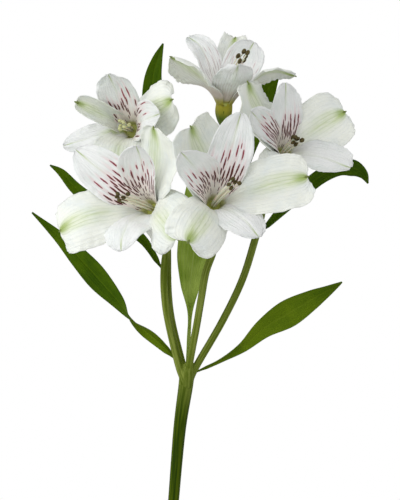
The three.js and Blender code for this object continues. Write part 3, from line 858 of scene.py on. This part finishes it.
def ovary_rows(bloom, foot=-0.4):
    axis = bloom_frame(bloom).col[2].to_3d()
    stations = ((OVARY_LENGTH, THIN), (0.72 * OVARY_LENGTH, 0.78 * OVARY_RADIUS),
                (0.4 * OVARY_LENGTH, OVARY_RADIUS), (foot, 0.96 * OVARY_RADIUS))
    return [(*(Vector(bloom["foot"]) - axis * behind), radius) for behind, radius in stations]


print(len(RAYS), "stalks on a stem", STEM[-1][2] - STEM_FOOT, "mm high")


# %% Finishes of the stalks and ovaries
GREEN_STEM, wiring = new_finish("green_stem", 0.5, Specular_IOR_Level=0.04)
spots = wiring.spots()
straight = wiring.node("Attribute", {"attribute_name": "straight_stalk"})["Vector"]
streaks = wiring.grain(wiring.stretched(straight, (900.0, 900.0, 30.0)), 1.0, 4.0)
patches = wiring.grain(wiring.stretched(spots, (60.0, 60.0, 25.0)), 1.0)
ridges = wiring.step(streaks, 0.35, 0.7)
young = wiring.blend(ridges, (0.090, 0.128, 0.008, 1), (0.230, 0.280, 0.055, 1))
young = wiring.blend(wiring.step(patches, 0.45, 0.8, 0.0, 0.6), young, (0.070, 0.110, 0.004, 1))
old = wiring.blend(ridges, (0.020, 0.045, 0.001, 1), (0.074, 0.115, 0.002, 1))
height = wiring.node("SeparateXYZ", Vector=spots)["Z"]
wiring.coat(Base_Color=wiring.blend(wiring.step(height, 0.235, 0.205), young, old),
            Roughness=wiring.step(patches, 0.2, 0.8, 0.36, 0.55))
wiring.emboss(streaks, 0.12)

OVARY_GREEN, wiring = new_finish("ovary_green", 0.45, Specular_IOR_Level=0.2)
along = wiring.node("SeparateXYZ", Vector=wiring.node("UVMap")[0])["X"]
mottle = wiring.grain(wiring.spots(), 500.0)
colour = wiring.blend(mottle, (0.055, 0.110, 0.003, 1), (0.110, 0.170, 0.008, 1))
wiring.coat(Base_Color=wiring.blend(wiring.step(along, 0.25, 0.8), colour, OLIVE))
wiring.emboss(mottle, 0.1)
print(GREEN_STEM.name, "and", OVARY_GREEN.name)

# %% Each stalk laid straight
LINE_SAMPLES = 120
LINE_SHIFT = 300.0


def remember_straight(mesh, lines):
    """Stores each vertex's place in its own stalk, laid straight, as an attribute in metres. Every
    line starts LINE_SHIFT further on, so that no two have the same grooves."""
    marks = []
    for index, rows in enumerate(lines):
        at, walked = run(rows), LINE_SHIFT * index
        for k in range(LINE_SAMPLES + 1):
            here = place(at, k / LINE_SAMPLES)
            walked += (here - marks[-1][0]).length if k else 0
            marks.append((here, *directions(at, k / LINE_SAMPLES), walked))
    tree = KDTree(len(marks))
    for index, mark in enumerate(marks):
        tree.insert(mark[0], index)
    tree.balance()
    straight = mesh.attributes.new("straight_stalk", "FLOAT_VECTOR", "POINT")
    for vert, value in zip(mesh.vertices, straight.data):
        spot = vert.co / MM
        centre, ahead, side, out, walked = marks[tree.find(spot)[1]]
        beside = spot - centre
        value.vector = MM * Vector((beside.dot(side), beside.dot(out), walked + beside.dot(ahead)))


print(LINE_SAMPLES, "places are marked on each line")

# %% Make the stalks in one skin
SKIN_CELL = 0.45

bm = bmesh.new()
stalk(bm, STEM, sides=24, steps=40)
for name, rows in RAYS.items():
    stalk(bm, rows + ovary_rows(BLOOMS[name], 1.4), sides=16, steps=48)
stems = make_piece("flower_stalks", bm, [GREEN_STEM], ["flower_stem"])
skin = stems.modifiers.new("skin", "REMESH")
skin.mode = "VOXEL"
skin.voxel_size = SKIN_CELL * MM
skin.use_smooth_shade = True
flow = stems.modifiers.new("flow", "SMOOTH")
flow.factor = 0.5
flow.iterations = 3
settle(stems)
stems.data.materials.clear()
stems.data.materials.append(GREEN_STEM)
remember_straight(stems.data, [STEM, *RAYS.values()])
print("flower_stalks remeshed to", len(stems.data.polygons), "faces")

# %% Make the ovaries
bm = bmesh.new()
uv = bm.loops.layers.uv.verify()
for name, bloom in BLOOMS.items():
    rows = [(x, y, z, radius + OVARY_SKIN) for x, y, z, radius in ovary_rows(bloom)]
    axis = bloom_frame(bloom).col[2].to_3d()
    for face in stalk(bm, rows, sides=36, steps=18, ribs=6, rib_depth=0.06):
        for loop in face.loops:
            behind = (Vector(bloom["foot"]) - loop.vert.co).dot(axis)
            loop[uv].uv = (1 - behind / OVARY_LENGTH, 0.5)
make_piece("ovaries", bm, [OVARY_GREEN])

# %% [markdown]
# ## Leaves
# The leaves are long and lance-shaped with veins that all run from base to tip. Each hangs on a
# narrow stalk that twists, so that the under side may face us. The stations give the rib, half
# the width and the turn about the rib. The upper side is deep green and the under side paler, so
# a leaf has two finishes, one on each face of its thin sheet. The right leaf's stalk has turned it
# over, so its under side faces us. The middle leaf stands in the shade of the blooms, and one side
# of it is painted light: a much lighter copy of the leaf finish, so that it looks lit.
# Each leaf narrows to a slender root that sinks into its stalk, so that no cut end shows.

# %% Leaf stations
LEAVES = {
    "leaf_left": (0.25, "leaf", [
        (3, 0.6, 239, 1.5, 165), (-6.1, 1, 247.3, 2.6, 160), (-16.6, 2, 256.1, 3, 98),
        (-24.4, 3, 266.3, 4, 25), (-34.2, 4, 277.5, 5.8, 8), (-43.7, 5, 288, 5, 4),
        (-54.3, 6, 298.8, 2.8, 0), (-67.3, 7, 310.3, 0.4, 0)]),
    "leaf_right": (0.2, "leaf", [
        (17.4, 1.5, 231.5, 0.9, -35), (27.6, 3, 236.2, 1.3, -35), (38.6, 4, 242.9, 2.7, -15),
        (49.2, 4, 252.3, 4.9, 0), (61.2, 3, 259.7, 6.9, 5), (73.2, 2, 266.9, 4.9, 5),
        (81.1, 1, 271.5, 2.6, 5), (88.1, 0, 275.9, 0.4, 0)]),
    # The middle leaf takes the painted light finish: a much lighter copy of the leaf finish
    "leaf_middle": (0.35, "pale_leaf", [
        (10.6, 4.6, 229.5, 0.9, 0), (11.3, 6.8, 246, 0.9, 0), (12, 8, 260, 1.3, 0),
        (12.2, 9, 273.5, 5, 0), (13.5, 10, 287.1, 8, 0), (14.7, 10, 301.2, 8, 0),
        (14, 9, 316.4, 5.5, 0), (13.2, 8, 333.1, 0.4, 0)]),
    "leaf_upper_left": (0.2, "leaf", [
        (1.2, 6.8, 287.3, 1, 0), (-0.8, 14, 299.9, 2, 0), (-3.3, 24, 313.8, 3.1, 0),
        (-5, 33, 330.1, 4.2, 0), (-6, 37, 347.7, 5.6, 0), (-6.7, 38, 363, 6, 0),
        (-7, 38, 375.7, 4.6, 0), (-4.9, 37, 385.9, 2.8, 0), (-1.8, 36, 394.4, 0.4, 0)]),
    "bract_left": (0.25, "leaf", [
        (-2.9, -0.6, 284, 1.1, 0), (-11.5, 5, 296.6, 2.3, 0), (-24.7, 8, 306.9, 3.5, 0),
        (-35.3, 10, 314.3, 3.5, 0), (-45.3, 11, 322.1, 3, 0), (-52.4, 11, 329.9, 2, 0),
        (-58.4, 11, 333.9, 0.4, 0)]),
    "bract_right": (0.25, "leaf", [
        (48.3, 3, 301.5, 0.9, 0), (57.6, 7, 311, 2.5, 0), (67.8, 10, 320.4, 3.5, 0),
        (77.9, 12, 328.3, 3.8, 0), (86.9, 13, 332.3, 3.9, 0), (94, 13, 332.3, 4.2, 0),
        (99, 12, 329.3, 2.5, 0), (101.5, 11, 324.6, 0.4, 0)]),
    "bract_back": (0.2, "leaf", [
        (26.9, -1.5, 296.1, 0.7, 0), (29.6, 8, 307.4, 2, 0), (34.7, 16, 323.5, 3.5, 0),
        (39.7, 20, 341, 5.2, 0), (44.8, 22, 357, 7, 0), (49.3, 22, 369.2, 6.8, 0),
        (56.4, 21, 376.8, 0.4, 0)]),
}
print(len(LEAVES), "leaves")

# %% Shape of a leaf
LEAF_ROWS = 96
LEAF_COLUMNS = 24
LEAF_THICKNESS = 0.36
LEAF_VEINS = 11.0
DEEP_ROOTS = {"leaf_left": 5.0, "leaf_right": 5.0}
ROOT_WIDTH = 0.3
# Millimetres of the low ridges between veins, and of the groove at the rib
VEIN_RIDGE, LEAF_GROOVE = 0.05, 0.22


def leaf_shape(fold, rows, seed, root_reach):
    """A function of along and across that places a point of the leaf, in millimetres."""
    at = run(rows)

    def spot(along, across):
        ahead, side, out = directions(at, along)
        half, turn = at(along)[3], math.radians(at(along)[4])
        half *= ROOT_WIDTH + (1 - ROOT_WIDTH) * smooth(along / 0.04)
        flat = side * math.cos(turn) + out * math.sin(turn)
        face = flat.cross(ahead)
        v = -across
        wave = noise.noise(Vector((seed * 4.3, 7 * along, 1.4 * v)))
        lift = fold * half * (v * v) ** 0.62 + 0.18 * half * wave * abs(v)
        lift += VEIN_RIDGE * math.cos(math.pi * LEAF_VEINS * v) * smooth(half / 3)
        lift -= LEAF_GROOVE * math.exp(-(half * v / 0.5) ** 2) * smooth(half / 3)
        root = ahead * (-root_reach * (1 - smooth(along / 0.03)))
        return place(at, along) + flat * (half * v) + face * lift + root
    return spot


fold, slot, rows = LEAVES["leaf_left"]
leaf_tip = leaf_shape(fold, rows, 1, ROOT_REACH)(1, 0)
print("the left leaf ends at", [round(v) for v in leaf_tip])


# %% Leaf finishes
def leaf_finish(name, deep, light, vein, roughness, vein_share):
    """Patches from deep to light green, a few broad pale bands, and fine veins on top."""
    material, wiring = new_finish(name, roughness, Specular_IOR_Level=0.05)
    along, across, _ = sheet_coordinates(wiring)
    lines = add_veins(wiring, along, across, LEAF_VEINS, 0.05)
    broad = add_veins(wiring, along, across, 3.0, 0.5)
    patches = wiring.grain(wiring.spots(), 45.0, 4.0)
    colour = wiring.blend(wiring.step(patches, 0.3, 0.72), deep, light)
    colour = wiring.blend(broad * 0.25, colour, light)
    colour = wiring.blend(lines * vein_share, colour, vein)
    rib = wiring.step(abs(across), 0.09, 0.02)
    wiring.coat(Base_Color=wiring.blend(rib * 0.3, colour, vein),
                Roughness=wiring.step(patches, 0.2, 0.8, roughness - 0.07, roughness + 0.1))
    wiring.emboss(lines, 0.15, 0.8)
    return material


LEAF_TOP = leaf_finish("leaf_top", (0.028, 0.072, 0.001, 1), (0.076, 0.142, 0.001, 1),
                       (0.120, 0.190, 0.006, 1), 0.45, 0.18)
LEAF_UNDER = leaf_finish("leaf_under", (0.055, 0.110, 0.001, 1), (0.125, 0.195, 0.004, 1),
                         (0.160, 0.235, 0.015, 1), 0.5, 0.25)
# Painted light: a much lighter copy of the leaf finish, for the middle leaf that the blooms shade
PAINTED_LIGHT_LEAF = leaf_finish("painted_light_leaf_side", (0.190, 0.310, 0.018, 1), (0.480, 0.620, 0.130, 1),
                        (0.480, 0.610, 0.170, 1), 0.5, 0.25)
print([finish.name for finish in (LEAF_TOP, LEAF_UNDER, PAINTED_LIGHT_LEAF)])

# %% Make the leaves
for order, (name, (fold, slot, rows)) in enumerate(LEAVES.items()):
    bm = bmesh.new()
    shape = leaf_shape(fold, rows, order + 1, DEEP_ROOTS.get(name, ROOT_REACH))
    bent_sheet(bm, LEAF_ROWS, LEAF_COLUMNS, shape, number=order)
    sides = [LEAF_TOP, LEAF_UNDER]
    # The middle leaf gets the painted light finish on one side and the upper side's finish on the other
    if slot == "pale_leaf":
        sides = [PAINTED_LIGHT_LEAF, LEAF_TOP]
    elif name == "leaf_right":
        sides.reverse()
    make_piece(name + "_blade", bm, sides, [name], LEAF_THICKNESS)

# %% [markdown]
# ## Stamens
# From each throat come six thin filaments with grooved anthers, and a style that ends in three
# short arms. They leave the throat together and lean the same way. The upper left bloom has only
# just opened: its stamens are short, and its anthers are still shut and pale green.

# %% Stamen finishes
FILAMENT = mottled_finish("pale_filament", 0.45, 300.0, (0.66, 0.66, 0.48, 1), (0.82, 0.80, 0.68, 1),
                          Subsurface_Weight=0.2, Subsurface_Scale=0.001)


def anther_finish(name, dark, light):
    material, wiring = new_finish(name, 0.8, Specular_IOR_Level=0.2)
    dust = wiring.grain(wiring.spots(), 1400.0, 4.0)
    wiring.coat(Base_Color=wiring.blend(wiring.step(dust, 0.35, 0.7), dark, light))
    wiring.emboss(dust, 0.15)
    return material


ANTHER = anther_finish("anther", (0.045, 0.032, 0.010, 1), (0.150, 0.120, 0.045, 1))
YOUNG_ANTHER = anther_finish("young_anther", (0.56, 0.58, 0.27, 1), (0.74, 0.74, 0.46, 1))
print([finish.name for finish in (FILAMENT, ANTHER, YOUNG_ANTHER)])


# %% Shape of an anther
def add_anther(bm, where, ahead, turn):
    """A small grooved lozenge at the end of a filament."""
    made = bmesh.ops.create_uvsphere(bm, u_segments=14, v_segments=10, radius=1)["verts"]
    for vert in made:
        groove = 1 - 0.3 * math.exp(-(vert.co.x / 0.25) ** 2)
        vert.co = Vector((1.1 * vert.co.x, 0.95 * vert.co.y * groove, 1.65 * vert.co.z))
    turned = ahead.to_track_quat("Z", "X").to_matrix().to_4x4() @ Matrix.Rotation(turn, 4, "Z")
    bmesh.ops.transform(bm, matrix=Matrix.Translation(where) @ turned, verts=made)
    for face in faces_of(made):
        face.material_index = 1


trial = bmesh.new()
add_anther(trial, Vector(), Vector((0, 0, 1)), 0)
print("an anther has", len(trial.faces), "faces")
trial.free()

# %% Make the stamens
THROAT_FLOOR = 1.2
# How far each filament's end stands out from the middle of the sheaf, beyond its first 1.1 mm
ANTHER_SPREADS = (0.2, 1.5, 0.6, 1.3, 0.1, 1.6)
FILAMENTS = len(ANTHER_SPREADS)
YOUNG_LENGTH = 16

for name, bloom in BLOOMS.items():
    length, lean, around = bloom["stamens"]
    to_plant = bloom_frame(bloom)
    bm = bmesh.new()
    for k in range(FILAMENTS + 1):
        style = k == FILAMENTS
        turn = math.radians(360 / FILAMENTS * k + 25)
        reach = 0.82 * length if style else length * (1 - 0.09 * (k % 3))
        spread = 0.4 if style else ANTHER_SPREADS[k]
        rows = []
        for t in (0, 0.15, 0.3, 0.5, 0.65, 0.85, 1):
            fan = 0.3 if style else 1.1 + spread * t
            drift = math.tan(math.radians(lean)) * reach * t ** 1.6
            local = Vector((fan * math.cos(turn) + drift * math.cos(math.radians(around)),
                            fan * math.sin(turn) + drift * math.sin(math.radians(around)),
                            THROAT_FLOOR + 0.5 + (reach - 0.5) * t))
            rows.append((*(to_plant @ local), 0.42 - 0.12 * t))
        stalk(bm, rows, sides=8, steps=24)
        tip = Vector(rows[-1][:3])
        ahead = (tip - Vector(rows[-2][:3])).normalized()
        if style:
            for arm in range(3):
                out = ahead.orthogonal().normalized()
                out.rotate(Matrix.Rotation(math.radians(120 * arm), 3, ahead))
                arm_rows = [(*(tip + ahead * (1.1 * t) + out * (1.2 * t * t)), 0.28 - 0.1 * t)
                            for t in (0, 0.5, 1)]
                stalk(bm, arm_rows, sides=6, steps=8)
        else:
            add_anther(bm, tip, ahead, turn)
    anther = YOUNG_ANTHER if length < YOUNG_LENGTH else ANTHER
    make_piece(f"stamen_sheaf_{name}", bm, [FILAMENT, anther], [f"stamens_{name}"])

# %% [markdown]
# ## Pot and soil
# The pot is turned clay, so it is spun from a profile: half of its cross-section, drawn with few
# corners that are then rounded. The drain holes are cut out of its floor. The soil is spun too,
# then roughened, and strewn with crumbs and a few white grains of perlite.

# %% Measures of the pot
POT_HEIGHT = 106
POT_RIM = 60
POT_FOOT = 42
POT_WALL = 4.5
BAND_HEIGHT = 22
BAND_STEP = 3
CORNER_ROUND = 1.3
HOLES, HOLE_RADIUS, HOLE_CIRCLE = 4, 4, 24
SOIL_TOP = 97
SLOPE = (POT_RIM - BAND_STEP - POT_FOOT) / (POT_HEIGHT - BAND_HEIGHT)


def inside_at(z):
    """The radius of the pot's inner wall at a height."""
    return POT_FOOT + SLOPE * z - POT_WALL


print("the soil fills a circle of", round(2 * inside_at(SOIL_TOP)), "mm")


# %% Spin a profile
def spin_profile(bm, corners, round_off, steps):
    """Draws corners as a line of r and z, rounds them by round_off and spins the line."""
    verts = [bm.verts.new((r, 0, z)) for r, z in corners]
    for a, b in zip(verts, verts[1:]):
        bm.edges.new((a, b))
    if round_off:
        bmesh.ops.bevel(bm, geom=verts[1:-1], offset=round_off, segments=4, profile=0.5,
                        affect="VERTICES", material=-1)
    bmesh.ops.spin(bm, geom=bm.verts[:] + bm.edges[:], cent=(0, 0, 0), axis=(0, 0, 1),
                   angle=2 * math.pi, steps=steps, use_merge=True)
    bmesh.ops.remove_doubles(bm, verts=bm.verts, dist=0.001)
    bmesh.ops.recalc_face_normals(bm, faces=bm.faces)


trial = bmesh.new()
spin_profile(trial, [(0, 0), (1, 0), (1, 1), (0, 1)], 0, 8)
print("a drum of 8 sides has", len(trial.verts), "corners")
trial.free()

# %% Clay
CLAY, wiring = new_finish("terracotta_clay", 0.85, Specular_IOR_Level=0.25)
spots = wiring.spots()
mottle = wiring.grain(spots, 45.0, 6.0)
rings = wiring.grain(wiring.stretched(spots, (6.0, 6.0, 700.0)), 1.0, 2.0)
grit = wiring.grain(spots, 1600.0, 2.0)
colour = wiring.blend(wiring.step(mottle, 0.3, 0.7), (0.42, 0.155, 0.075, 1), (0.56, 0.235, 0.125, 1))
colour = wiring.blend(wiring.step(grit, 0.62, 0.75, 0.0, 0.5), colour, (0.28, 0.10, 0.05, 1))
height = wiring.node("SeparateXYZ", Vector=spots)["Z"]
chalk = wiring.step(height, 0.05, 0.0) * wiring.step(mottle, 0.42, 0.66)
wiring.coat(Base_Color=wiring.blend(chalk * 0.5, colour, (0.66, 0.50, 0.42, 1)),
            Roughness=wiring.step(mottle, 0.2, 0.8, 0.78, 0.92))
wiring.emboss(rings * 0.6 + grit * 0.4, 0.25)
print(CLAY.name)

# %% Turn the pot
bm = bmesh.new()
band_foot = POT_HEIGHT - BAND_HEIGHT
spin_profile(bm, [
    (0, 0), (POT_FOOT, 0), (POT_RIM - BAND_STEP, band_foot), (POT_RIM, band_foot + 0.6),
    (POT_RIM, POT_HEIGHT), (inside_at(POT_HEIGHT - 1), POT_HEIGHT), (inside_at(POT_WALL), POT_WALL),
    (0, POT_WALL),
], CORNER_ROUND, 128)
pot = make_piece("clay_pot", bm, [CLAY], ["pot"])

# %% Drill the drain holes
bm = bmesh.new()
for k in range(HOLES):
    turn = math.radians(360 / HOLES * (k + 0.5))
    centre = (HOLE_CIRCLE * MM * math.cos(turn), HOLE_CIRCLE * MM * math.sin(turn), 0)
    bmesh.ops.create_cone(bm, cap_ends=True, segments=32, radius1=HOLE_RADIUS * MM,
                          radius2=HOLE_RADIUS * MM, depth=4 * POT_WALL * MM,
                          matrix=Matrix.Translation(centre))
drill_mesh = bpy.data.meshes.new("drill")
bm.to_mesh(drill_mesh)
bm.free()
drill = bpy.data.objects.new("drill", drill_mesh)
scene.collection.objects.link(drill)
holes = pot.modifiers.new("holes", "BOOLEAN")
holes.operation = "DIFFERENCE"
holes.object = drill
settle(pot)
pot.data.shade_smooth()
pot.data.set_sharp_from_angle(angle=math.radians(50))
bpy.data.objects.remove(drill)
print("clay_pot has", len(pot.data.polygons), "faces with its drain holes")

# %% Soil finishes
SOIL, wiring = new_finish("potting_soil", 0.95, Specular_IOR_Level=0.2)
spots = wiring.spots()
clods = wiring.grain(spots, 260.0, 6.0, 0.65)
fibre = wiring.grain(spots, 1200.0, 3.0)
colour = wiring.blend(wiring.step(clods, 0.3, 0.7), (0.014, 0.009, 0.006, 1), (0.060, 0.038, 0.024, 1))
threads = wiring.step(fibre, 0.6, 0.72, 0.0, 0.6)
wiring.coat(Base_Color=wiring.blend(threads, colour, (0.13, 0.085, 0.05, 1)))
wiring.emboss(clods + fibre * 0.5, 0.8)

PERLITE = mottled_finish("perlite", 0.9, 900.0, (0.50, 0.48, 0.44, 1), (0.82, 0.81, 0.78, 1))
print(SOIL.name, "and", PERLITE.name)

# %% Bed of soil
SOIL_RINGS = 44
SOIL_SHOULDER = 44
WALL_GAP = 0.35


def soil_height(r):
    """The soil rises a little from the wall to the stem."""
    return SOIL_TOP - 1 + smooth((SOIL_SHOULDER - r) / 24) - 2 * smooth((r - SOIL_SHOULDER) / 10)


bm = bmesh.new()
low = POT_WALL + 0.3
edge_radius = inside_at(SOIL_TOP - 3) - WALL_GAP
surface = [edge_radius * (1 - k / SOIL_RINGS) for k in range(1, SOIL_RINGS)]
spin_profile(bm, [(0, low), (inside_at(low) - WALL_GAP, low), (edge_radius, SOIL_TOP - 3)]
             + [(r, soil_height(r)) for r in surface] + [(0, SOIL_TOP)], 0, 144)
for vert in bm.verts:
    reach = vert.co.xy.length
    if vert.co.z > SOIL_TOP - 6 and reach < edge_radius - 0.5:
        calm = smooth((reach - 3) / 3) * smooth((edge_radius - reach) / 2)
        rough = noise.fractal(vert.co * 0.25, 0.8, 2.2, 4)
        vert.co.z += calm * (0.9 * rough - 0.3)
make_piece("soil_bed", bm, [SOIL], ["soil"])

# %% Crumbs and perlite
CRUMBS = 620
CRUMBS_FROM, CRUMBS_TO = 6.5, 51
PERLITE_EVERY = 13

bm = bmesh.new()
draw = random.Random(11)
for k in range(CRUMBS):
    reach = math.sqrt(draw.uniform(CRUMBS_FROM ** 2, CRUMBS_TO ** 2))
    turn = draw.uniform(0, 2 * math.pi)
    white = k % PERLITE_EVERY == 0
    size = draw.uniform(0.7, 1.3) if white else draw.triangular(0.5, 2.3, 0.8)
    spot = Vector((reach * math.cos(turn), reach * math.sin(turn), soil_height(reach) + 0.25 * size))
    stretch = Matrix.Diagonal((draw.uniform(0.8, 1.5), draw.uniform(0.7, 1.0), draw.uniform(0.5, 0.8), 1))
    turned = (Matrix.Rotation(draw.uniform(0, 6.28), 4, "Z")
              @ Matrix.Rotation(draw.uniform(-0.5, 0.5), 4, "X"))
    made = bmesh.ops.create_icosphere(bm, subdivisions=1 if size < 1.2 else 2, radius=size)["verts"]
    for vert in made:
        vert.co *= 1 + 0.35 * noise.noise(vert.co * (1.3 / size) + Vector((k, 0, 0)))
    bmesh.ops.transform(bm, matrix=Matrix.Translation(spot) @ turned @ stretch, verts=made)
    for face in faces_of(made):
        face.material_index = 1 if white else 0
make_piece("soil_crumbs", bm, [SOIL, PERLITE])

# %% [markdown]
